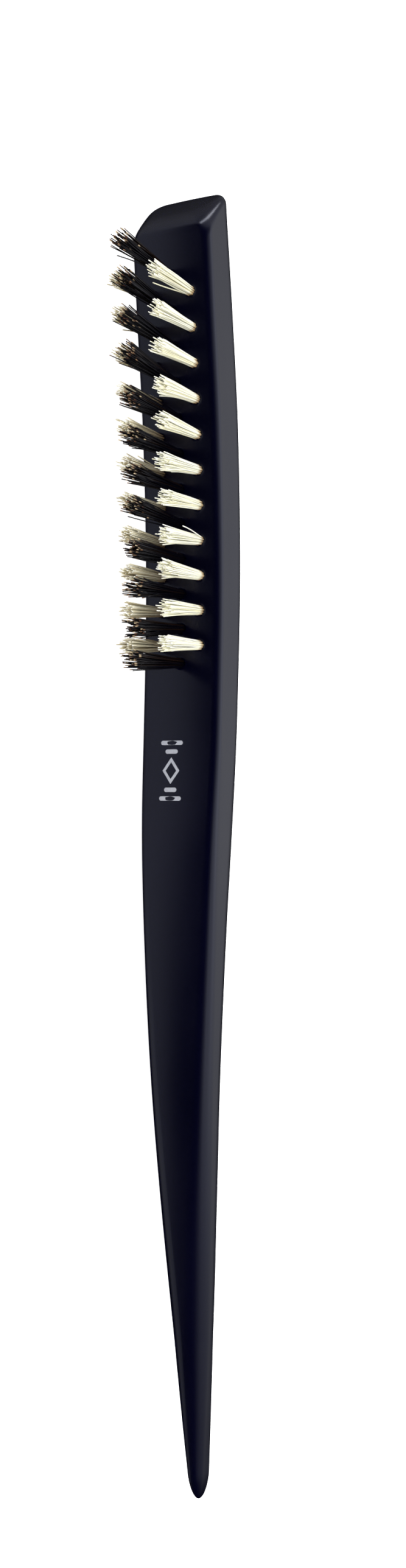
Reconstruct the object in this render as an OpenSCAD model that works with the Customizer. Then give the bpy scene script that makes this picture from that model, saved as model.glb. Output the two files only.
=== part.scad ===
// Narrow dressing brush with a tapered sectioning tail.
// It lies on the flat lower side of its head: X runs along the brush from the head
// tip (-X) to the tail (+X), the tufts point to -Y, and Z is the width of the brush.
// "station" is the distance from the head tip along X. "reach" is the distance from
// the brush's datum line towards the tufts, so a larger reach is a smaller Y.

/* [Handle] */
// Length of the brush from the head tip to the tail end
brush_length = 227.5; // [215:0.5:240]
// Width of the head between its two flat sides
head_width = 15.6; // [14.8:0.1:18]
// Width of the tail just before its rounded end
tail_width = 2; // [1.8:0.1:3.6]
// Station at which the handle starts to narrow
taper_start = 90; // [85:1:110]
// Exponent of the narrowing: 1 is a straight taper, more is a bulging one
taper_power = 1.7; // [1.3:0.05:1.9]

/* [Edges] */
// Radius along the two long edges of the bristle face, at the head
face_edge_radius = 1.3; // [1:0.1:1.8]
// Radius along the two long edges of the back, at the head
back_edge_radius = 3; // [1.5:0.1:3.5]
// How far the tail section is from square (0) to round (1)
tail_roundness = 0.92; // [0.7:0.01:0.95]
// Radius round the slanted end face of the head, at its back edge
end_radius = 1.7; // [0.8:0.1:1.9]
// Extra radius at the two corners where the end face, a side and the bristle face meet
end_flare = 2.6; // [0.5:0.1:3]
// Length over which the slanted end face rolls into the bristle face
end_roll = 2.6; // [1.6:0.1:3.2]
// Slant of the end face: run along the brush for each millimetre of depth
end_slant = 0.74; // [0.6:0.01:0.9]
// Length of the rounded tail end
tail_end_length = 4.7; // [3:0.1:8]
// Bulge of the bristle face and of the back
face_crown = 0.35; // [0:0.05:0.5]
// Bulge of the two sides before they are cut flat
side_crown = 0.12; // [0.05:0.01:0.2]

/* [Tufts] */
// Number of tufts in each outer row; the middle row has one more
outer_tufts = 11; // [7:1:11]
// Distance between neighbouring tufts of a row
tuft_pitch = 6; // [5.6:0.05:6.1]
// Station of the middle of the tuft field
field_middle = 48; // [46:0.1:50]
// Distance between neighbouring rows
row_pitch = 3.7; // [3.5:0.1:4.4]
// Length of the pale outer tufts above the face
outer_tuft_length = 11.8; // [8:0.1:16]
// Length of the dark middle tufts above the face
middle_tuft_length = 16; // [12:0.1:18]
// Diameter of a tuft where it leaves the face
tuft_root_d = 1.8; // [1.5:0.05:2]
// Diameter of a tuft across its tips
tuft_tip_d = 3.4; // [2:0.1:3.4]
// Lean of the first outer tufts towards the head tip
outer_head_lean = 1.5; // [0:0.1:6]
// Lean of the first middle tuft towards the head tip
middle_head_lean = 7; // [0:0.1:8]
// Lean of the last tuft of every row towards the tail
tail_lean = 2.5; // [0:0.1:6]

/* [Tuft seats] */
// Depth of each drilled seat below the bristle face
seat_depth = 4.8; // [4.2:0.1:5]
// Clearance between a tuft root and its seat
seat_clearance = 0.03; // [0.02:0.01:0.05]
// Width of each anchor, across the seat
anchor_width = 2.5; // [2.3:0.1:2.8]
// Height of each anchor, along the seat
anchor_height = 1.2; // [1:0.1:1.4]
// Thickness of each anchor
anchor_thickness = 0.35; // [0.3:0.05:0.4]

/* [Hidden] */

// Side outline of the brush: fraction of its length, reach of the bristle face,
// reach of the back. The head is bowed away from the tufts and the grip towards them.
OUTLINE = [
    [0.00, 5.0, -3.9],
    [0.09, 3.0, -6.3],
    [0.18, 1.0, -8.3],
    [0.29, 0.0, -9.0],
    [0.40, 0.7, -7.9],
    [0.49, 2.0, -6.5],
    [0.58, 2.3, -5.3],
    [0.67, 2.1, -5.1],
    [0.76, 1.2, -6.1],
    [0.85, -0.4, -7.2],
    [0.93, -2.3, -7.7],
    [1.00, -4.2, -8.1]
];
FACE = 1;
BACK = 2;

// The rings of the handle's skin, and the points of each ring
END_STEPS = 4;
FLARE_STEPS = 4;
BODY_STEPS = 44;
TAIL_STEPS = 6;
CORNER_STEPS = 5;
FACE_STEPS = 4;
SIDE_STEPS = 2;
// Half width of the skin where the flat sides are cut: the crown stands just proud
HEAD_SKIN_HALF = head_width / 2 - 0.2 * side_crown;
// The slant of the end face dies out over this length of head
SLANT_LENGTH = 30;
// The skin starts ahead of station 0, because the rounding brings the tip back near it
END_STATION = -0.9;
// Stations at which the end rounding stops: along most of the end face, and at its two corners
FLARE_STATION = END_STATION + end_radius;
BODY_STATION = FLARE_STATION + end_flare;
// Angle of the last ring on the elliptical tail end, short of closing at 90
TAIL_END_ANGLE = 81;
// Gap left on every side of an anchor
ANCHOR_GAP = 0.01;
// Height of an anchor's lower edge above the foot of its seat
ANCHOR_RISE = 0.5;

TUFT_FACETS = 40;
OUTER_COLOR = "cornsilk";
MIDDLE_COLOR = [0.09, 0.07, 0.06];

function tuft_name(row, i) = str(row, "_tuft_", i < 10 ? "0" : "", i);

function mix(a, b, u) = a + (b - a) * u;

function smooth(u) = let (v = min(1, max(0, u))) v * v * (3 - 2 * v);

// Smooth curve through one column of OUTLINE, at a station in mm
function slope(i, col) =
    let (lo = OUTLINE[max(0, i - 1)], hi = OUTLINE[min(len(OUTLINE) - 1, i + 1)])
    (hi[col] - lo[col]) / (hi[0] - lo[0]);

function reach(station, col) =
    let (
        x = min(1, max(0, station / brush_length)),
        i = max([for (k = [0:len(OUTLINE) - 2]) if (OUTLINE[k][0] <= x) k]),
        a = OUTLINE[i],
        b = OUTLINE[i + 1],
        step = b[0] - a[0],
        u = (x - a[0]) / step
    )
    a[col] * (1 + 2 * u) * (1 - u) * (1 - u)
    + slope(i, col) * step * u * (1 - u) * (1 - u)
    + b[col] * u * u * (3 - 2 * u)
    + slope(i + 1, col) * step * u * u * (u - 1);

// Half width of the uncut skin: constant along the head, then tapered to the tail
function half_width(station) =
    let (u = max(0, station - taper_start) / (brush_length - taper_start))
    HEAD_SKIN_HALF - (HEAD_SKIN_HALF - tail_width / 2) * pow(u, taper_power);

// Radii of the long edges at the bristle face and at the back. Both turn into the radius
// of the nearly round tail, and the end face has a smaller one at its back.
function edge_radii(station, half_w, half_d) =
    mix([face_edge_radius, min(back_edge_radius, 0.75 * half_d)],
        tail_roundness * min(half_w, half_d) * [1, 1],
        smooth((station - taper_start) / (0.9 * brush_length - taper_start)));

// Point on the arc at corner j of a rounded rectangle, 2a deep and 2b wide
function on_corner(a, b, radii, j, angle) =
    let (r = radii[[0, 1, 1, 0][j]])
    [
        [1, -1, -1, 1][j] * (a - r) + r * cos(angle),
        [1, 1, -1, -1][j] * (b - r) + r * sin(angle)
    ];

// The arc at corner j, then the points between it and the next corner
function corner_points(a, b, radii, j) =
    let (
        turn = 90 * (j + 1),
        from = on_corner(a, b, radii, j, turn),
        to = on_corner(a, b, radii, (j + 1) % 4, turn),
        steps = j % 2 == 0 ? SIDE_STEPS : FACE_STEPS
    )
    concat(
        [for (k = [0:CORNER_STEPS]) on_corner(a, b, radii, j, turn - 90 + 90 * k / CORNER_STEPS)],
        [for (k = [1:steps - 1]) mix(from, to, k / steps)]
    );

// Rounded rectangle with bulging sides: a is half the depth, b half the width
function section(a, b, radii, crown_a, crown_b) =
    [
        for (j = [0:3])
        for (p = corner_points(a, b, radii, j))
        [
            p[0] * (1 + crown_a / a * (1 - pow(p[1] / b, 2))),
            p[1] * (1 + crown_b / b * (1 - pow(p[0] / a, 2)))
        ]
    ];

// How far a rounding draws the skin in, at a distance behind the end face
function end_inset(behind, radius) =
    let (u = max(0, 1 - behind / radius))
    radius * (1 - sqrt(1 - u * u));

// Radius of the end rounding at a reach of p from mid depth: largest at the bristle face
function corner_radius(p, half_d) =
    end_radius + end_flare * pow(min(1, max(0, (1 + p / half_d) / 2)), 2);

// One ring of the skin. shrink is 1 along the brush and falls towards the tail end.
function ring(station, shrink) =
    let (
        slant = end_slant * (1 - smooth(station / SLANT_LENGTH)),
        back = reach(station, BACK),
        face_station = station + slant * (reach(station, FACE) - back),
        face = reach(face_station, FACE),
        behind = station - END_STATION,
        inset = end_inset(behind, end_radius),
        low = back + inset,
        high = face - inset * end_roll / end_radius,
        half_d = (high - low) / 2 * shrink,
        half_w = half_width(station) * shrink,
        radii = edge_radii(station, half_w, half_d),
        run = (face_station - station) / (face - back)
    )
    [
        for (p = section(half_d, half_w, radii, face_crown * shrink, side_crown * shrink))
        let (
            n = (high + low) / 2 + p[0],
            drawn_in = end_inset(behind, corner_radius(p[0], half_d))
        )
        [station + run * (n - back), n, p[1] * (1 - drawn_in / half_w)]
    ];

// The rings from the head tip to the tail end
SKIN = concat(
    [
        for (k = [0:END_STEPS - 1])
        ring(END_STATION + end_radius * (1 - cos(90 * k / END_STEPS)), 1)
    ],
    [
        for (k = [0:FLARE_STEPS - 1])
        ring(mix(FLARE_STATION, BODY_STATION, k / FLARE_STEPS), 1)
    ],
    [
        for (k = [0:BODY_STEPS])
        ring(mix(BODY_STATION, brush_length - tail_end_length, k / BODY_STEPS), 1)
    ],
    [
        for (k = [1:TAIL_STEPS])
        let (angle = TAIL_END_ANGLE * k / TAIL_STEPS)
        ring(brush_length - tail_end_length * (1 - sin(angle) / sin(TAIL_END_ANGLE)), cos(angle))
    ]
);
RING_POINTS = len(SKIN[0]);

// Where the bounding box has its middle, in station and in reach
HEAD_STATION = min([for (points = SKIN) min([for (p = points) p[0]])]);
X_MIDDLE = (HEAD_STATION + brush_length) / 2;
BACK_REACH = min([for (points = SKIN) min([for (p = points) p[1]])]);
TIP_REACH = max([for (i = [1:outer_tufts + 1]) tip_reach(row_station(outer_tufts + 1, i))]);
Y_MIDDLE = (TIP_REACH + BACK_REACH) / 2;

function row_station(count, i) = field_middle + tuft_pitch * (i - (count + 1) / 2);

// Lean towards the tail, growing evenly over the tuft field; negative is towards the head tip
function lean(station, head_lean) =
    mix(-head_lean, tail_lean, 0.5 + (station - field_middle) / (tuft_pitch * outer_tufts));

function tip_reach(station) =
    let (angle = lean(station, middle_head_lean))
    reach(station, FACE) + face_crown + middle_tuft_length * cos(angle)
    + tuft_tip_d / 2 * abs(sin(angle));

// Moves a shape made in (station, reach, width) to its place in the brush's frame
module place() {
    translate([-X_MIDDLE, Y_MIDDLE, head_width / 2])
        mirror([0, 1, 0])
            children();
}

// Puts a shape made along +Z into a seat: the face is at z = 0, the seat below it
module seat(station, across) {
    crown = face_crown * (1 - pow(2 * across / head_width, 2));
    head_lean = across == 0 ? middle_head_lean : outer_head_lean;
    place()
        translate([station, reach(station, FACE) + crown, across])
            rotate([0, 0, -lean(station, head_lean)])
                rotate([-90, 0, 0])
                    children();
}

module skin() {
    last = len(SKIN) - 1;
    points = concat(
        [for (r = SKIN) for (p = r) p],
        [centre(SKIN[0]), centre(SKIN[last])]
    );
    head_point = len(points) - 2;
    tail_point = len(points) - 1;
    polyhedron(points, concat(
        [
            for (r = [0:last - 1], k = [0:RING_POINTS - 1])
            let (a = r * RING_POINTS + k, b = r * RING_POINTS + (k + 1) % RING_POINTS)
            each [[b, a, a + RING_POINTS], [b, a + RING_POINTS, b + RING_POINTS]]
        ],
        [for (k = [0:RING_POINTS - 1]) [head_point, k, (k + 1) % RING_POINTS]],
        [
            for (k = [0:RING_POINTS - 1])
            [tail_point, last * RING_POINTS + (k + 1) % RING_POINTS, last * RING_POINTS + k]
        ]
    ));
}

function centre(points) = [for (p = points) 1] * points / len(points);

// Flat metal anchor across the seat, grown by a gap for the pocket it sits in
module anchor(gap = 0) {
    size = [anchor_width, anchor_thickness, anchor_height];
    translate([0, 0, ANCHOR_RISE + anchor_height / 2 - seat_depth])
        cube(size + 2 * gap * [1, 1, 1], center = true);
}

// Drilled seat with the pocket that the anchor cuts in its walls
module seat_tool() {
    translate([0, 0, -seat_depth])
        cylinder(h = seat_depth + 2, d = tuft_root_d + 2 * seat_clearance, $fn = TUFT_FACETS);
    anchor(ANCHOR_GAP);
}

// Places a child at every seat of a row
module along_row(count, across) {
    for (i = [1:count])
        seat(row_station(count, i), across)
            children();
}

module handle() {
    color([0.12, 0.12, 0.14])
        difference() {
            intersection() {
                place() skin();
                translate([-brush_length, -brush_length / 2, 0])
                    cube([2 * brush_length, brush_length, head_width]);
            }
            along_row(outer_tufts, row_pitch) seat_tool();
            along_row(outer_tufts + 1, 0) seat_tool();
            along_row(outer_tufts, -row_pitch) seat_tool();
        }
}

// One bundle of bristles, folded round its anchor at the foot of the seat
module tuft(station, across, length) {
    seat(station, across)
        difference() {
            union() {
                translate([0, 0, seat_clearance - seat_depth])
                    cylinder(h = seat_depth - seat_clearance, d = tuft_root_d, $fn = TUFT_FACETS);
                cylinder(h = length, d1 = tuft_root_d, d2 = tuft_tip_d, $fn = TUFT_FACETS);
            }
            anchor(ANCHOR_GAP);
        }
}

module outer_tuft(i, across) {
    color(OUTER_COLOR) tuft(row_station(outer_tufts, i), across, outer_tuft_length);
}

module middle_tuft(i) {
    color(MIDDLE_COLOR) tuft(row_station(outer_tufts + 1, i), 0, middle_tuft_length);
}

module row_anchors(count, across) {
    color("silver") along_row(count, across) anchor();
}

handle();
for (i = [1:outer_tufts]) outer_tuft(i, row_pitch);
for (i = [1:outer_tufts + 1]) middle_tuft(i);
for (i = [1:outer_tufts]) outer_tuft(i, -row_pitch);
row_anchors(outer_tufts, row_pitch);  // near_row_anchors
row_anchors(outer_tufts + 1, 0);  // middle_row_anchors
row_anchors(outer_tufts, -row_pitch);  // far_row_anchors
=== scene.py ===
"""Looks for the narrow dressing brush: lacquered handle, natural bristle tufts, camera and light.

Lengths are in millimetres until a point is placed in the row frame, which is in metres.
"station" runs along the brush from the head tip, "reach" runs from the brush's datum line
towards the tufts (-Y), and "across" runs over its width from the mid plane (+Z).
"""

import math
import random
from collections import namedtuple

import bpy
import numpy as np
from mathutils import Matrix, Quaternion, Vector


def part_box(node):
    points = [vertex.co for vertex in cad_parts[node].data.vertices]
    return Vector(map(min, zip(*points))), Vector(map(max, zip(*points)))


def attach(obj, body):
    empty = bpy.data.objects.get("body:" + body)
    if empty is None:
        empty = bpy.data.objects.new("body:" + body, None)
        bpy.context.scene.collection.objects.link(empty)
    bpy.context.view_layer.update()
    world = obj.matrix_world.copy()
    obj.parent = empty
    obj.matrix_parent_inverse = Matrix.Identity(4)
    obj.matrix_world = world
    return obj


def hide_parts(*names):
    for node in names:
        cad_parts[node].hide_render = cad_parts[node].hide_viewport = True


MM = 0.001

# Handle, as in the CAD model
BRUSH_LENGTH = 227.5
HEAD_WIDTH = 15.6
TAIL_WIDTH = 2.0
TAPER_START = 90.0
TAPER_POWER = 1.7
FACE_EDGE_RADIUS = 1.3
BACK_EDGE_RADIUS = 3.0
BACK_EDGE_LIMIT = 0.75  # of half the depth
TAIL_ROUNDNESS = 0.92
ROUND_TAIL_SHARE = 0.9  # of the length, where the section has its full tail roundness
END_RADIUS = 1.7
END_FLARE = 2.6
END_ROLL = 2.6
END_SLANT = 0.74
SLANT_LENGTH = 30.0
END_STATION = -0.9
BODY_STATION = END_STATION + END_RADIUS
TAIL_END_LENGTH = 4.7
TAIL_END_ANGLE = math.radians(81)
FACE_CROWN = 0.35
SIDE_CROWN = 0.12
HEAD_SKIN_HALF = HEAD_WIDTH / 2 - 0.2 * SIDE_CROWN  # the crowned sides are cut at HEAD_WIDTH
# Fraction of the length, reach of the bristle face, reach of the back
OUTLINE = np.array(
    [
        (0.00, 5.0, -3.9),
        (0.09, 3.0, -6.3),
        (0.18, 1.0, -8.3),
        (0.29, 0.0, -9.0),
        (0.40, 0.7, -7.9),
        (0.49, 2.0, -6.5),
        (0.58, 2.3, -5.3),
        (0.67, 2.1, -5.1),
        (0.76, 1.2, -6.1),
        (0.85, -0.4, -7.2),
        (0.93, -2.3, -7.7),
        (1.00, -4.2, -8.1),
    ]
)
FACE, BACK = 1, 2

# Fineness of the handle's skin
END_RINGS = 8
FIELD_STEP = 0.22
GRIP_STEP = 1.0
TAIL_RINGS = 12
CORNER_STEPS = 10
SIDE_STEPS, BACK_STEPS, FACE_STEPS = 8, 14, 60
FIELD_END = 86.0

# Tufts, as in the CAD model; the leans are in degrees
OUTER_TUFTS = 11
TUFT_PITCH = 6.0
FIELD_MIDDLE = 48.0
ROW_PITCH = 3.7
OUTER_HEAD_LEAN = 1.5
MIDDLE_HEAD_LEAN = 7.0
TAIL_LEAN = 2.5
OUTER_TUFT_LENGTH = 11.8
MIDDLE_TUFT_LENGTH = 16.0
TUFT_ROOT_R = 0.9
TUFT_TIP_R = 1.7

# Mouth of a tuft's seat in the lacquered face
MOUTH_DEPTH = 0.12
MOUTH_INNER_R = 0.9
MOUTH_OUTER_R = 1.0
MOUTH_MARGIN = 0.12  # band round a mouth in which points may move to its edge
MOUTH_SNAP = 0.1  # points this close to a mouth's inner or outer circle move onto it
MOUTH_CENTRE_R = 0.3  # points nearer the middle than this keep their place
MOUTH_REACH = 1.0  # points further than this below the face don't belong to it

# Bristles
BRISTLE_SIDES = 5
BRISTLE_RINGS = 7
BRISTLE_R = (0.105, 0.13)
# The outermost bristles' centre lines stay this far inside the tuft
ROOT_MARGIN = 0.11
TIP_MARGIN = 0.05
BRISTLE_TAPER = 0.22
BRISTLE_SUNK = 1.3  # length below the mouth of the seat
LONGEST = 1.05  # of the tuft's length
UNEVENNESS, UNEVEN_POWER = 0.18, 1.3
FAN_POWER = 1.15  # how late the bundle widens
DRIFT, DRIFT_POWER = 0.12, 1.6
SWAY = 0.08
STRAY_LOOSENESS = 3.0
STRAY_CUT = 3.5
STRAY_DRIFT = (0.4, 1.6)
ROOT_SCATTER = 0.15  # radians
SPREAD_SCATTER = (0.9, 1.12)
# Painted light and shade: bristles on the head's side of a tuft get lighter tones, those on the tail's
# side darker, creamier ones.
HEAD_SIDE_PAINTED_LIGHT, TINT_SHIFT = 0.2, 0.08
LEAN_SCATTER = 1.2  # degrees
SEED_STEP, SEED = 1009, 17

Bundle = namedtuple("Bundle", "count wide loose stray_share")
PALE_BUNDLE = Bundle(54, 1.0, 1.3, 0.06)
DARK_BUNDLE = Bundle(66, 1.14, 2.2, 0.12)

# Bundle, material and record slot of each row
ROWS = {
    "near": (PALE_BUNDLE, "pale", "pale_bristle"),
    "middle": (DARK_BUNDLE, "dark", "dark_bristle"),
    # The far row's material is the pale bristle with painted shade.
    "far": (PALE_BUNDLE, "grey", "pale_bristle"),
}

# Printed motif
MOTIF_MIDDLE = 99.5
MOTIF_ACROSS = -1.2
# Place along the motif, half length and half thickness of each bar
BARS = ((-4.8, 2.3, 0.4), (-3.3, 1.3, 0.4), (3.3, 1.3, 0.4), (4.8, 2.3, 0.4))
BAR_END_STEPS = 8
LOZENGE = (2.3, 1.7, 0.5)  # half length, half width, thickness of the line
LOZENGE_STEPS = 6
PRINT_HEIGHT = 0.02
PRINT_SUNK = 0.03
PRINT_BEVEL = 0.93  # size of a bar's top over its foot

# Camera
VIEW_TILT = math.radians(30)  # above the floor
VIEW_DISTANCE = 277.9
AIM = (101.8, 0.0, 4.28)  # station, reach, across
LENS = 37.2
SENSOR = 36.0

# Studio, in metres and degrees
FLOOR_HALF = 12.0
FLOOR_CELLS = 8
FLOOR_GLOW = 0.95
STUDIO_STRENGTH = 2.0
BACKDROP = 0.5  # the camera's own backdrop, which the strength brings up to white
# Place, target, size and radiance of the two lights
KEY = ((0.04, -0.25, 0.52), (-0.05, 0, 0), (0.6, 0.35), 6.9)
HEAD_STRIP = ((-0.85, -0.18, 0.202), (-0.1, 0, 0.01), (0.76, 0.13), 5.5)
HEAD_STRIP_ROLL = -14.0
# The studio's dark band: how much it slopes with x, and the range of x over which it does
BAND_SLOPE = 0.4
BAND_SLOPE_FROM, BAND_SLOPE_TO = -0.15, 0.24


def smooth(u):
    """Eases from 0 to 1 while u runs from 0 to 1."""
    v = np.clip(u, 0.0, 1.0)
    return v * v * (3 - 2 * v)


# ---------------------------------------------------------------- handle


def reach(station, column):
    """Height of the bristle face or the back at a station, on a smooth curve through OUTLINE."""
    x = min(1.0, max(0.0, station / BRUSH_LENGTH))
    at = OUTLINE[:, 0]
    i = min(len(at) - 2, int(np.searchsorted(at, x, side="right")) - 1)
    slopes = []
    for k in (i, i + 1):
        lo, hi = OUTLINE[max(0, k - 1)], OUTLINE[min(len(at) - 1, k + 1)]
        slopes.append((hi[column] - lo[column]) / (hi[0] - lo[0]))
    step = at[i + 1] - at[i]
    u = (x - at[i]) / step
    a, b = OUTLINE[i, column], OUTLINE[i + 1, column]
    return (
        a * (1 + 2 * u) * (1 - u) ** 2
        + slopes[0] * step * u * (1 - u) ** 2
        + b * u * u * (3 - 2 * u)
        + slopes[1] * step * u * u * (u - 1)
    )


def half_width(station):
    """Half the handle's width: even along the head, then narrowing faster and faster."""
    u = max(0.0, station - TAPER_START) / (BRUSH_LENGTH - TAPER_START)
    return HEAD_SKIN_HALF - (HEAD_SKIN_HALF - TAIL_WIDTH / 2) * u**TAPER_POWER


def section(a, b, radii, crown_a, crown_b):
    """Rounded rectangle, 2a deep and 2b wide, with bulging sides; (reach, across) points.

    radii are those of its edges at the bristle face and at the back."""
    signs = ((1, 1), (-1, 1), (-1, -1), (1, -1))
    runs = (SIDE_STEPS, BACK_STEPS, SIDE_STEPS, FACE_STEPS)

    def on_corner(j, angle):
        sx, sy = signs[j % 4]
        r = radii[0] if sx > 0 else radii[1]
        return np.array((sx * (a - r) + r * math.cos(angle), sy * (b - r) + r * math.sin(angle)))

    points = []
    for j, run in enumerate(runs):
        turn = math.pi / 2 * (j + 1)
        for k in range(CORNER_STEPS + 1):
            points.append(on_corner(j, turn - math.pi / 2 * (1 - k / CORNER_STEPS)))
        start, end = on_corner(j, turn), on_corner(j + 1, turn)
        points += [start + (end - start) * k / run for k in range(1, run)]
    p = np.array(points)
    u, v = p[:, 0] / a, p[:, 1] / b
    bulge = np.column_stack((1 + crown_a / a * (1 - v * v), 1 + crown_b / b * (1 - u * u)))
    return p * bulge


def end_inset(behind, radius):
    """How far a rounding draws the surface in, at a distance behind the end face."""
    u = np.clip(1 - behind / radius, 0.0, 1.0)
    return radius * (1 - np.sqrt(1 - u * u))


def ring(station, shrink=1.0):
    """One ring of the skin, as (station, reach, across) points."""
    slant = END_SLANT * (1 - float(smooth(station / SLANT_LENGTH)))
    back = reach(station, BACK)
    face_station = station + slant * (reach(station, FACE) - back)
    face = reach(face_station, FACE)
    behind = station - END_STATION
    inset = float(end_inset(behind, END_RADIUS))
    low, high = back + inset, face - inset * END_ROLL / END_RADIUS
    half_d = (high - low) / 2 * shrink
    half_w = half_width(station) * shrink
    blend = float(smooth((station - TAPER_START) / (ROUND_TAIL_SHARE * BRUSH_LENGTH - TAPER_START)))
    tail_r = TAIL_ROUNDNESS * min(half_w, half_d)
    back_r = min(BACK_EDGE_RADIUS, BACK_EDGE_LIMIT * half_d)
    radii = [r + (tail_r - r) * blend for r in (FACE_EDGE_RADIUS, back_r)]
    p = section(half_d, half_w, radii, FACE_CROWN * shrink, SIDE_CROWN * shrink)
    n = (high + low) / 2 + p[:, 0]
    run = (face_station - station) / (face - back)
    share = np.clip((1 + p[:, 0] / half_d) / 2, 0.0, 1.0)
    drawn_in = end_inset(behind, END_RADIUS + END_FLARE * share**2)
    across = np.clip(p[:, 1] * (1 - drawn_in / half_w), -HEAD_WIDTH / 2, HEAD_WIDTH / 2)
    return np.column_stack((station + run * (n - back), n, across))


def skin_rings():
    """All rings of the handle, from the head's end face to the rounded tip of the tail."""
    turns = [math.pi / 2 * k / END_RINGS for k in range(END_RINGS)]
    cap = [END_STATION + END_RADIUS * (1 - math.cos(turn)) for turn in turns]
    tail_start = BRUSH_LENGTH - TAIL_END_LENGTH
    field = np.linspace(BODY_STATION, FIELD_END, round((FIELD_END - BODY_STATION) / FIELD_STEP))
    grip = np.linspace(FIELD_END, tail_start, round((tail_start - FIELD_END) / GRIP_STEP))
    rings = [ring(s) for s in np.concatenate((cap, field, grip[1:]))]
    for k in range(1, TAIL_RINGS + 1):
        angle = TAIL_END_ANGLE * k / TAIL_RINGS
        station = BRUSH_LENGTH - TAIL_END_LENGTH * (1 - math.sin(angle) / math.sin(TAIL_END_ANGLE))
        rings.append(ring(station, math.cos(angle)))
    return np.array(rings)


def grid_faces(rows, columns):
    """Quads of a tube of rows rings with columns points each, and its two end caps."""
    faces = []
    for r in range(rows - 1):
        for k in range(columns):
            a, b = r * columns + k, r * columns + (k + 1) % columns
            faces.append((a, b, b + columns, a + columns))
    faces.append(tuple(reversed(range(columns))))
    faces.append(tuple(range((rows - 1) * columns, rows * columns)))
    return faces


class Frame:
    """Turns (station, reach, across) in millimetres into a point of the row frame."""

    def __init__(self, rings):
        low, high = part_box("handle")
        self.x = high.x / MM - BRUSH_LENGTH
        self.y = high.y / MM + float(rings[:, :, 1].min())
        self.z = (high.z + low.z) / 2 / MM

    def point(self, p):
        p = np.asarray(p, dtype=float)
        return MM * np.stack((p[..., 0] + self.x, self.y - p[..., 1], p[..., 2] + self.z), axis=-1)


def new_object(name, points, faces, material):
    mesh = bpy.data.meshes.new(name)
    mesh.from_pydata([tuple(p) for p in points], [], faces)
    mesh.validate()
    mesh.update()
    mesh.shade_smooth()
    mesh.materials.append(material)
    obj = bpy.data.objects.new(name, mesh)
    bpy.context.scene.collection.objects.link(obj)
    return obj


# ---------------------------------------------------------------- tuft seats


def face_reach(station, across):
    """Reach of the bristle face; its crown falls away towards the long edges."""
    return reach(station, FACE) + FACE_CROWN * (1 - (across / half_width(station)) ** 2)


def seats():
    """(row, number, station, across, lean, length) of every tuft."""
    rows = (
        ("near", OUTER_TUFTS, ROW_PITCH, OUTER_TUFT_LENGTH, OUTER_HEAD_LEAN),
        ("middle", OUTER_TUFTS + 1, 0.0, MIDDLE_TUFT_LENGTH, MIDDLE_HEAD_LEAN),
        ("far", OUTER_TUFTS, -ROW_PITCH, OUTER_TUFT_LENGTH, OUTER_HEAD_LEAN),
    )
    out = []
    for row, count, across, length, head_lean in rows:
        for i in range(1, count + 1):
            station = FIELD_MIDDLE + TUFT_PITCH * (i - (count + 1) / 2)
            share = 0.5 + (station - FIELD_MIDDLE) / (TUFT_PITCH * OUTER_TUFTS)
            lean = math.radians(-head_lean + (TAIL_LEAN + head_lean) * share)
            out.append((row, i, station, across, lean, length))
    return out


def press_mouths(rings):
    """Sinks a small rounded mouth into the bristle face round every seat."""
    out = rings.copy()
    for _, _, station, across, _, _ in seats():
        top = face_reach(station, across)
        dx = out[:, :, 0] - station
        dz = out[:, :, 2] - across
        r = np.hypot(dx, dz)
        near = (r < MOUTH_OUTER_R + MOUTH_MARGIN) & (out[:, :, 1] > top - MOUTH_REACH)
        snapped = r.copy()
        for edge in (MOUTH_INNER_R, MOUTH_OUTER_R):
            snapped = np.where(np.abs(r - edge) < MOUTH_SNAP, edge, snapped)
        scale = np.where(near & (r > MOUTH_CENTRE_R), snapped / np.maximum(r, MOUTH_CENTRE_R), 1.0)
        depth = MOUTH_DEPTH * (1 - smooth((snapped - MOUTH_INNER_R) / (MOUTH_OUTER_R - MOUTH_INNER_R)))
        out[:, :, 0] = np.where(near, station + dx * scale, out[:, :, 0])
        out[:, :, 2] = np.where(near, across + dz * scale, out[:, :, 2])
        out[:, :, 1] = np.where(near, out[:, :, 1] - depth, out[:, :, 1])
    return out


# ---------------------------------------------------------------- bristles


def bristle(rng, root, length, spread, loose):
    """Centre line and radii of one bristle, in the tuft's own frame (along, station, across).

    spread is how much wider the bundle is at its tips than at its root, and loose is how
    far bristles wander from it. A stray bristle has STRAY_LOOSENESS."""
    angle = rng.uniform(0, 2 * math.pi)
    end = length * (LONGEST - UNEVENNESS * rng.random() ** UNEVEN_POWER)
    drift = rng.gauss(0, DRIFT) * loose
    sway = rng.gauss(0, SWAY) * loose
    if loose == STRAY_LOOSENESS:
        end -= rng.uniform(0, STRAY_CUT)
        drift += rng.uniform(*STRAY_DRIFT)
    line, radii = [], []
    thick = rng.uniform(*BRISTLE_R)
    for k in range(BRISTLE_RINGS):
        u = k / (BRISTLE_RINGS - 1)
        s = -BRISTLE_SUNK + (end + BRISTLE_SUNK) * u
        v = max(0.0, s) / length
        grow = 1 + (spread - 1) * v**FAN_POWER
        side = drift * v**DRIFT_POWER + sway * math.sin(math.pi * min(1.0, v))
        line.append(
            (
                s,
                root[0] * grow + side * math.cos(angle),
                root[1] * grow + side * math.sin(angle),
            )
        )
        radii.append(thick * (1 - BRISTLE_TAPER * v))
    return np.array(line), radii


def tube(line, radii, spin):
    """Points of a tube along +along; the rings stay square to the tuft's axis."""
    points = []
    for (s, a, b), r in zip(line, radii):
        for k in range(BRISTLE_SIDES):
            turn = spin + 2 * math.pi * k / BRISTLE_SIDES
            points.append((s, a + r * math.cos(turn), b + r * math.sin(turn)))
    return points


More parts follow.
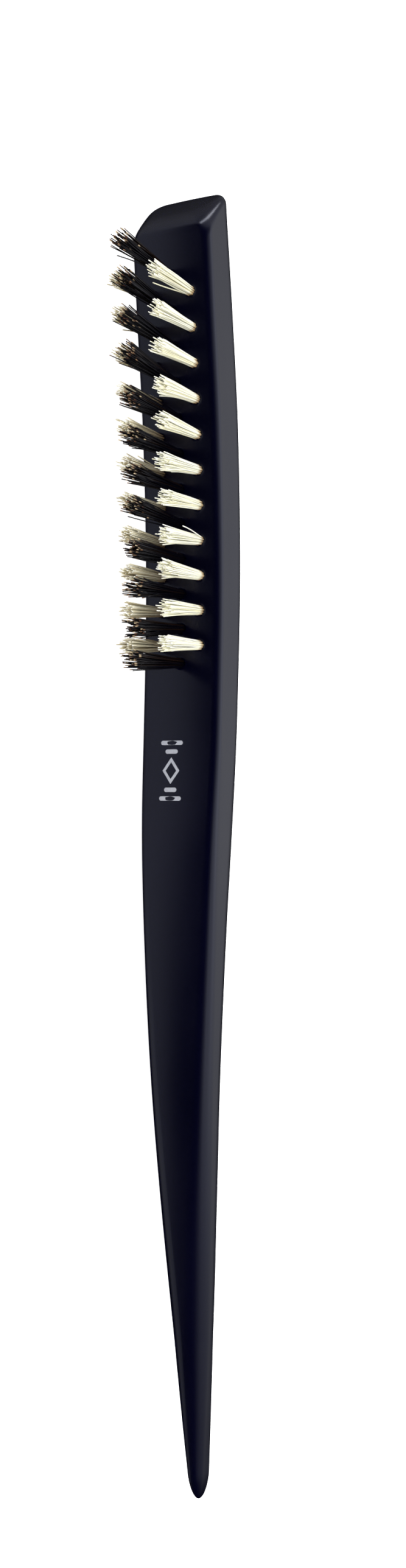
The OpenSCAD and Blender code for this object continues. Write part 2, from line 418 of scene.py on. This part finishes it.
def tuft_points(rng, bundle, length):
    """Points and faces of a tuft's bristles, with each point's random tint plus painted shade, and its
    share of the length.

    The roots lie on a sunflower pattern. Bristles on the head's side are painted lighter and those on
    the tail's side darker and creamier: painted light and shade on the tuft's lit and shaded sides."""
    points, faces, tint_and_shade, along = [], [], [], []
    golden = math.pi * (3 - math.sqrt(5))
    for k in range(bundle.count):
        r = (TUFT_ROOT_R - ROOT_MARGIN) * math.sqrt((k + 0.5) / bundle.count)
        turn = golden * k + rng.uniform(-ROOT_SCATTER, ROOT_SCATTER)
        root = (r * math.cos(turn), r * math.sin(turn))
        spread = bundle.wide * (TUFT_TIP_R - TIP_MARGIN) / TUFT_ROOT_R
        spread *= rng.uniform(*SPREAD_SCATTER)
        stray = rng.random() < bundle.stray_share
        line, radii = bristle(rng, root, length, spread, STRAY_LOOSENESS if stray else bundle.loose)
        base = len(points)
        points += tube(line, radii, rng.uniform(0, 2 * math.pi))
        faces += [tuple(base + j for j in f) for f in grid_faces(BRISTLE_RINGS, BRISTLE_SIDES)]
        # Random tone, plus painted light on the head's side and painted shade on the tail's side.
        shade = rng.random() - HEAD_SIDE_PAINTED_LIGHT * root[0] / TUFT_ROOT_R + TINT_SHIFT
        for s, _, _ in line:
            tint_and_shade += [min(1.0, max(0.0, shade))] * BRISTLE_SIDES
            along += [s / line[-1][0]] * BRISTLE_SIDES
    return np.array(points), faces, tint_and_shade, along


def add_float(mesh, name, values):
    """Gives each point of a mesh a number that its material reads."""
    layer = mesh.attributes.new(name, "FLOAT", "POINT")
    layer.data.foreach_set("value", values)


def build_tufts(place, materials):
    """One piece per tuft, each with its own seeded scatter of bristles."""
    for n, (row, i, station, across, lean, length) in enumerate(seats()):
        rng = random.Random(SEED_STEP * n + SEED)
        bundle, kind, slot = ROWS[row]
        local, faces, tint_and_shade, along = tuft_points(rng, bundle, length)
        lean += math.radians(rng.gauss(0, LEAN_SCATTER))
        c, s = math.cos(lean), math.sin(lean)
        foot = face_reach(station, across)
        points = np.column_stack(
            (
                station + local[:, 0] * s + local[:, 1] * c,
                foot + local[:, 0] * c - local[:, 1] * s,
                across + local[:, 2],
            )
        )
        piece = new_object(f"{row}_bristles_{i:02d}", place.point(points), faces, materials[kind])
        add_float(piece.data, "tint_and_shade", tint_and_shade)
        add_float(piece.data, "along", along)
        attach(piece, "root")
        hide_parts(f"{row}_tuft_{i:02d}")
        piece.visible_glossy = row != "near"


# ---------------------------------------------------------------- printed motif


def bar(middle, half_length, half_thick):
    """Outline of a round-ended bar about the motif's middle, as (station, across) points."""
    loop = []
    for end, start in ((1, -90), (-1, 90)):
        for k in range(BAR_END_STEPS + 1):
            angle = math.radians(start + 180 * k / BAR_END_STEPS)
            x = end * (half_length - half_thick) + half_thick * math.cos(angle)
            loop.append((middle + half_thick * math.sin(angle), x))
    return loop


def lozenge(half_long, half_wide, thick):
    """Outer and inner loops of a lozenge outline."""
    outer = [(half_long, 0), (0, half_wide), (-half_long, 0), (0, -half_wide)]
    loops = []
    for inset in (0.0, thick):
        k = 1 - inset * math.hypot(half_long, half_wide) / (half_long * half_wide)
        loop = []
        for (x0, y0), (x1, y1) in zip(outer, outer[1:] + outer[:1]):
            for m in range(LOZENGE_STEPS):
                u = m / LOZENGE_STEPS
                loop.append((k * (x0 + (x1 - x0) * u), k * (y0 + (y1 - y0) * u)))
        loops.append(loop)
    return loops


def on_face(loop, height):
    """Lays a loop of the motif on the bristle face, at a height above it."""
    return [
        (
            MOTIF_MIDDLE + x,
            face_reach(MOTIF_MIDDLE + x, MOTIF_ACROSS + y) + height,
            MOTIF_ACROSS + y,
        )
        for x, y in loop
    ]


def build_motif(place, material):
    """Two bars, a lozenge and two more bars: a thin printed layer below the tufts."""
    points, faces = [], []
    for loop in (bar(*sizes) for sizes in BARS):
        n, base = len(loop), len(points)
        middle = np.mean(loop, axis=0)
        inner = [tuple(middle + (np.array(p) - middle) * PRINT_BEVEL) for p in loop]
        points += on_face(loop, -PRINT_SUNK) + on_face(inner, PRINT_HEIGHT)
        faces += [(base + k, base + (k + 1) % n, base + n + (k + 1) % n, base + n + k) for k in range(n)]
        faces += [tuple(base + k for k in reversed(range(n))), tuple(base + n + k for k in range(n))]
    outer, inner = lozenge(*LOZENGE)
    n, base = len(outer), len(points)
    points += on_face(outer, -PRINT_SUNK) + on_face(outer, PRINT_HEIGHT)
    points += on_face(inner, PRINT_HEIGHT) + on_face(inner, -PRINT_SUNK)
    for ring_a in range(4):
        ring_b = (ring_a + 1) % 4
        for k in range(n):
            a, b = base + ring_a * n + k, base + ring_a * n + (k + 1) % n
            c, d = base + ring_b * n + (k + 1) % n, base + ring_b * n + k
            faces.append((a, b, c, d))
    piece = new_object("printed_motif", place.point(points), faces, material)
    piece.data.shade_flat()
    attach(piece, "root")


# ---------------------------------------------------------------- materials


class Nodes:
    """A node tree, with short names for the nodes used here."""

    def __init__(self, tree):
        self.nodes, self.links = tree.nodes, tree.links
        self.nodes.clear()

    def put(self, value, socket):
        """Links another node's output to a socket, or sets the socket's own value."""
        if isinstance(value, bpy.types.NodeSocket):
            self.links.new(value, socket)
        else:
            socket.default_value = value

    def ramp(self, value, stops):
        node = self.nodes.new("ShaderNodeValToRGB")
        elements = node.color_ramp.elements
        elements.remove(elements[1])
        elements[0].position = stops[0][0]
        elements[0].color = (*stops[0][1], 1.0)
        for at, colour in stops[1:]:
            elements.new(at).color = (*colour, 1.0)
        self.put(value, node.inputs["Fac"])
        return node.outputs["Color"]

    def span(self, value, low, high, start=0.0, end=1.0):
        node = self.nodes.new("ShaderNodeMapRange")
        node.inputs["From Min"].default_value = start
        node.inputs["From Max"].default_value = end
        node.inputs["To Min"].default_value = low
        node.inputs["To Max"].default_value = high
        self.put(value, node.inputs["Value"])
        return node.outputs["Result"]

    def math(self, kind, a, b):
        node = self.nodes.new("ShaderNodeMath")
        node.operation = kind
        self.put(a, node.inputs[0])
        self.put(b, node.inputs[1])
        return node.outputs[0]

    def mix(self, factor, a, b, kind="MIX"):
        node = self.nodes.new("ShaderNodeMix")
        node.data_type = "RGBA"
        node.blend_type = kind
        self.put(factor, node.inputs["Factor"])
        self.put(a, node.inputs["A"])
        self.put(b, node.inputs["B"])
        return node.outputs["Result"]


class Surface(Nodes):
    """A material of one Principled shader, whose noises lie in the object's own coordinates."""

    def __init__(self, name):
        self.material = bpy.data.materials.new(name)
        self.material.use_nodes = True
        super().__init__(self.material.node_tree)
        self.shader = self.nodes.new("ShaderNodeBsdfPrincipled")
        out = self.nodes.new("ShaderNodeOutputMaterial")
        self.put(self.shader.outputs[0], out.inputs["Surface"])
        self.coords = self.nodes.new("ShaderNodeTexCoord").outputs["Object"]

    def noise(self, scale, detail=3.0, roughness=0.5, stretch=(1, 1, 1)):
        mapping = self.nodes.new("ShaderNodeMapping")
        mapping.inputs["Scale"].default_value = stretch
        self.put(self.coords, mapping.inputs["Vector"])
        node = self.nodes.new("ShaderNodeTexNoise")
        node.inputs["Scale"].default_value = scale
        node.inputs["Detail"].default_value = detail
        node.inputs["Roughness"].default_value = roughness
        self.put(mapping.outputs[0], node.inputs["Vector"])
        return node.outputs["Fac"]

    def attribute(self, name):
        node = self.nodes.new("ShaderNodeAttribute")
        node.attribute_name = name
        return node.outputs["Fac"]

    def bump(self, height, strength, distance):
        node = self.nodes.new("ShaderNodeBump")
        node.inputs["Strength"].default_value = strength
        node.inputs["Distance"].default_value = distance
        self.put(height, node.inputs["Height"])
        self.set(Normal=node.outputs[0])

    def set(self, **values):
        """Values or links for the shader's sockets; an underscore stands for a space."""
        for name, value in values.items():
            self.put(value, self.shader.inputs[name.replace("_", " ")])


def lacquer():
    m = Surface("satin_black_lacquer")
    cloud = m.noise(90.0, 4.0, 0.55, (0.35, 1, 1))
    speck = m.noise(5200.0, 2.0, 0.6)
    grain = m.math("ADD", m.math("MULTIPLY", cloud, 0.5), m.math("MULTIPLY", speck, 0.5))
    black = m.ramp(cloud, ((0.3, (0.0004, 0.0004, 0.0050)), (0.7, (0.0008, 0.0008, 0.0065))))
    m.set(Base_Color=black, Roughness=m.span(grain, 0.16, 0.25, 0.35, 0.65))
    m.set(IOR=1.53, Specular_Tint=(0.78, 0.82, 1.0, 1.0))
    m.bump(m.math("ADD", speck, m.math("MULTIPLY", cloud, 0.6)), 0.16, 0.00004)
    return m.material


def pale_bristle(name, body_stops, root_stops, root_span):
    """Undyed bristle, brownish for a share root_span of its length above the seat: partly the root's own
    colour, partly painted shade where the bristles go into the seat and the other tufts shade them.
    """
    m = Surface(name)
    tint_and_shade, along = m.attribute("tint_and_shade"), m.attribute("along")
    streak = m.noise(900.0, 3.0, 0.6, (1, 0.12, 1))
    shade = m.math("ADD", m.math("MULTIPLY", tint_and_shade, 0.75), m.math("MULTIPLY", streak, 0.25))
    body = m.ramp(shade, body_stops)
    root = m.ramp(streak, root_stops)
    end = m.ramp(tint_and_shade, ((0.2, (0.62, 0.58, 0.46)), (0.6, (0.92, 0.90, 0.80))))
    colour = m.mix(m.span(along, 1.0, 0.0, 0.0, root_span), body, root)
    colour = m.mix(m.span(along, 0.0, 1.0, 0.97, 1.0), colour, end)
    m.set(Base_Color=colour, Roughness=m.span(streak, 0.32, 0.5), IOR=1.5)
    m.set(Subsurface_Weight=0.35, Subsurface_Radius=(1.0, 0.95, 0.8), Subsurface_Scale=0.0004)
    m.bump(streak, 0.3, 0.00003)
    return m.material


def near_bristle():
    stops = (
        (0.0, (0.74, 0.60, 0.36)),
        (0.12, (0.92, 0.87, 0.60)),
        (0.5, (0.97, 0.95, 0.73)),
        (0.95, (0.99, 0.985, 0.84)),
    )
    # Brown at the root: partly the bristles' own colour, partly painted shade where they go into their
    # seat.
    root_stops = ((0.2, (0.30, 0.17, 0.07)), (0.8, (0.62, 0.44, 0.22)))
    return pale_bristle("pale_bristle", stops, root_stops, 0.10)


def far_bristle_painted_shade():
    # Painted shade: the far row is the pale bristle in darker, greyer colours, and very dark over most
    # of its length towards the root, standing in for the shade the other rows cast on it.
    stops = (
        (0.0, (0.18, 0.12, 0.07)),
        (0.25, (0.40, 0.34, 0.22)),
        (0.6, (0.61, 0.56, 0.40)),
        (0.95, (0.78, 0.74, 0.58)),
    )
    root_stops = ((0.2, (0.03, 0.016, 0.008)), (0.8, (0.09, 0.055, 0.028)))
    return pale_bristle("pale_bristle_painted_shade", stops, root_stops, 0.85)


def dark_bristle():
    m = Surface("dark_bristle")
    tint_and_shade, along = m.attribute("tint_and_shade"), m.attribute("along")
    streak = m.noise(900.0, 3.0, 0.6, (1, 0.12, 1))
    body = m.ramp(
        tint_and_shade,
        (
            (0.0, (0.0010, 0.0010, 0.0030)),
            (0.90, (0.0020, 0.0016, 0.0030)),
            (0.97, (0.007, 0.0035, 0.0025)),
        ),
    )
    end = m.ramp(
        tint_and_shade,
        (
            (0.45, (0.003, 0.002, 0.003)),
            (0.60, (0.06, 0.022, 0.012)),
            (0.80, (0.18, 0.10, 0.055)),
            (0.97, (0.45, 0.35, 0.22)),
        ),
    )
    colour = m.mix(m.span(along, 0.0, 1.0, 0.95, 0.99), body, end)
    m.set(Base_Color=colour, Roughness=m.span(streak, 0.2, 0.32), IOR=1.4)
    # Painted shade: the sheen fades towards the root, standing in for the shade the neighbouring tufts
    # cast there.
    m.set(Specular_IOR_Level=m.span(along, 0.08, 0.5, 0.0, 0.5))
    m.bump(streak, 0.3, 0.00003)
    return m.material


def brushed_steel():
    m = Surface("brushed_steel")
    streak = m.noise(2500.0, 4.0, 0.6, (1, 0.05, 1))
    steel = m.ramp(streak, ((0.2, (0.42, 0.42, 0.43)), (0.8, (0.60, 0.60, 0.61))))
    m.set(Base_Color=steel, Roughness=m.span(streak, 0.25, 0.5), Metallic=1.0)
    m.bump(streak, 0.2, 0.00002)
    return m.material


def silver_ink():
    m = Surface("silver_ink")
    flake = m.noise(4000.0, 3.0, 0.7)
    silver = m.ramp(flake, ((0.25, (0.30, 0.31, 0.35)), (0.75, (0.42, 0.43, 0.48))))
    m.set(Base_Color=silver, Roughness=m.span(flake, 0.4, 0.6), Metallic=0.35)
    m.bump(flake, 0.3, 0.00002)
    return m.material


def pale_floor():
    m = Surface("pale_floor")
    soft = m.noise(6.0, 2.0)
    pale = m.ramp(soft, ((0.2, (0.93, 0.93, 0.93)), (0.8, (0.95, 0.95, 0.95))))
    m.set(Base_Color=pale, Roughness=0.9)
    m.set(Emission_Color=(1, 1, 1, 1), Emission_Strength=FLOOR_GLOW)
    return m.material


# ---------------------------------------------------------------- studio


def build_floor():
    count = FLOOR_CELLS + 1
    line = np.linspace(-FLOOR_HALF, FLOOR_HALF, count)
    points = [(x, y, 0.0) for y in line for x in line]
    faces = []
    for r in range(FLOOR_CELLS):
        for k in range(FLOOR_CELLS):
            a = r * count + k
            faces.append((a, a + 1, a + count + 1, a + count))
    floor = new_object("floor", points, faces, pale_floor())
    floor.visible_glossy = False


def area_light(name, place, aim, size, radiance, roll=0.0, glossy=True):
    """Rectangular light that faces its target; roll tips it sideways, in degrees."""
    light = bpy.data.lights.new(name, "AREA")
    light.shape = "RECTANGLE"
    light.size, light.size_y = size
    light.energy = radiance * math.pi * size[0] * size[1]
    obj = bpy.data.objects.new(name, light)
    bpy.context.scene.collection.objects.link(obj)
    obj.location = place
    facing = (Vector(aim) - Vector(place)).to_track_quat("-Z", "Y")
    obj.rotation_euler = (facing @ Quaternion((0, 0, 1), math.radians(roll))).to_euler()
    obj.visible_glossy = glossy


def build_world():
    """Studio surroundings that light the brush; the camera sees an even pale backdrop instead.

    Grey levels are set by direction: in front of the brush, behind it, and beyond the tip of
    its head. In front, a dark band lies between a low and a high pale field and slopes with
    x. Front and back fade in the direction of the tail."""
    world = bpy.data.worlds.new("studio")
    bpy.context.scene.world = world
    world.use_nodes = True
    w = Nodes(world.node_tree)
    split = w.nodes.new("ShaderNodeSeparateXYZ")
    w.put(w.nodes.new("ShaderNodeTexCoord").outputs["Generated"], split.inputs[0])
    x, y, z = split.outputs

    def grey(direction, *stops):
        share = w.span(direction, 0.0, 1.0, -1.0, 1.0)
        return w.ramp(share, [((at + 1) / 2, (level, level, level)) for at, level in stops])

    sloping = w.math("MINIMUM", w.math("MAXIMUM", x, BAND_SLOPE_FROM), BAND_SLOPE_TO)
    tilted = w.math("ADD", z, w.math("MULTIPLY", sloping, BAND_SLOPE))
    front = grey(tilted, (-1.0, 0.1), (-0.75, 0.23), (-0.6, 0.24), (-0.5, 0.13), (-0.46, 0.04),
                 (-0.42, 0.0), (0.45, 0.0), (0.7, 0.04), (0.85, 0.2), (0.97, 0.5))
    behind = grey(z, (-1.0, 0.0), (-0.3, 0.0), (0.0, 0.03), (0.25, 0.1), (0.36, 0.2), (0.44, 0.44),
                  (0.6, 0.5), (0.8, 0.65), (0.93, 0.85))
    along = grey(x, (-0.34, 0.82), (-0.2, 1.0), (0.05, 1.0), (0.18, 0.8), (0.32, 0.7), (0.6, 0.5))
    tailwards = grey(x, (0.29, 1.0), (0.39, 0.74), (0.47, 0.5), (0.6, 0.3), (0.8, 0.1))
    around = w.mix(grey(y, (-0.2, 0.0), (0.2, 1.0)), front, w.mix(1.0, behind, along, "MULTIPLY"))
    around = w.mix(1.0, around, tailwards, "MULTIPLY")
    below = grey(y, (-0.6, 0.26), (-0.2, 0.18), (0.0, 0.14), (0.15, 0.09), (0.4, 0.045), (0.6, 0.01))
    above = grey(z, (0.1, 0.12), (0.37, 0.22), (0.6, 0.32), (0.9, 0.4))
    beyond = w.mix(grey(z, (-0.35, 0.0), (-0.1, 1.0)), below, above)
    studio = w.mix(grey(x, (-0.72, 1.0), (-0.52, 0.0)), around, beyond)
    backdrop = w.nodes.new("ShaderNodeRGB").outputs[0]
    backdrop.default_value = (BACKDROP, BACKDROP, BACKDROP, 1)
    seen = w.nodes.new("ShaderNodeLightPath").outputs["Is Camera Ray"]
    back = w.nodes.new("ShaderNodeBackground")
    w.put(w.mix(seen, studio, backdrop), back.inputs["Color"])
    w.put(STUDIO_STRENGTH, back.inputs["Strength"])
    out = w.nodes.new("ShaderNodeOutputWorld")
    w.put(back.outputs[0], out.inputs[0])


def build_camera(aim):
    """Camera on the tufts' side of the brush, with the head at the top of the picture."""
    camera = bpy.data.cameras.new("camera")
    camera.lens = LENS
    camera.sensor_width = SENSOR
    camera.clip_start = 0.01
    camera.clip_end = 100.0
    obj = bpy.data.objects.new("camera", camera)
    bpy.context.scene.collection.objects.link(obj)
    view = Vector((0, math.cos(VIEW_TILT), -math.sin(VIEW_TILT)))
    up = Vector((-1, 0, 0))
    right = view.cross(up)
    obj.matrix_world = Matrix.Translation(Vector(aim) - VIEW_DISTANCE * MM * view) @ Matrix(
        (
            (right.x, up.x, -view.x, 0),
            (right.y, up.y, -view.y, 0),
            (right.z, up.z, -view.z, 0),
            (0, 0, 0, 1),
        )
    )
    bpy.context.scene.camera = obj


def build(nodes):
    rings = skin_rings()
    place = Frame(rings)
    shaped = press_mouths(rings)
    count, columns = shaped.shape[:2]
    handle = new_object(
        "lacquered_handle", place.point(shaped).reshape(-1, 3), grid_faces(count, columns), lacquer()
    )
    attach(handle, "root")
    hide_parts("handle")
    build_tufts(place, {"pale": near_bristle(), "dark": dark_bristle(), "grey": far_bristle_painted_shade()})
    build_motif(place, silver_ink())
    steel = brushed_steel()
    for row in ROWS:
        for slot in nodes[f"{row}_row_anchors"].material_slots:
            slot.material = steel
    build_floor()
    build_world()
    area_light("key", *KEY, glossy=False)
    area_light("head_strip", *HEAD_STRIP, roll=HEAD_STRIP_ROLL)
    build_camera(place.point(AIM))
    bpy.context.scene.view_settings.view_transform = "Standard"


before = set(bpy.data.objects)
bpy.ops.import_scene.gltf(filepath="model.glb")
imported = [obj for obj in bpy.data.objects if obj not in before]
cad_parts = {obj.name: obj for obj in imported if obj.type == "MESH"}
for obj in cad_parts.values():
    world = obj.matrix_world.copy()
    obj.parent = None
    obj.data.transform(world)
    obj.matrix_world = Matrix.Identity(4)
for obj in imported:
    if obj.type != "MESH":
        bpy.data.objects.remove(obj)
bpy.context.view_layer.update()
build(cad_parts)
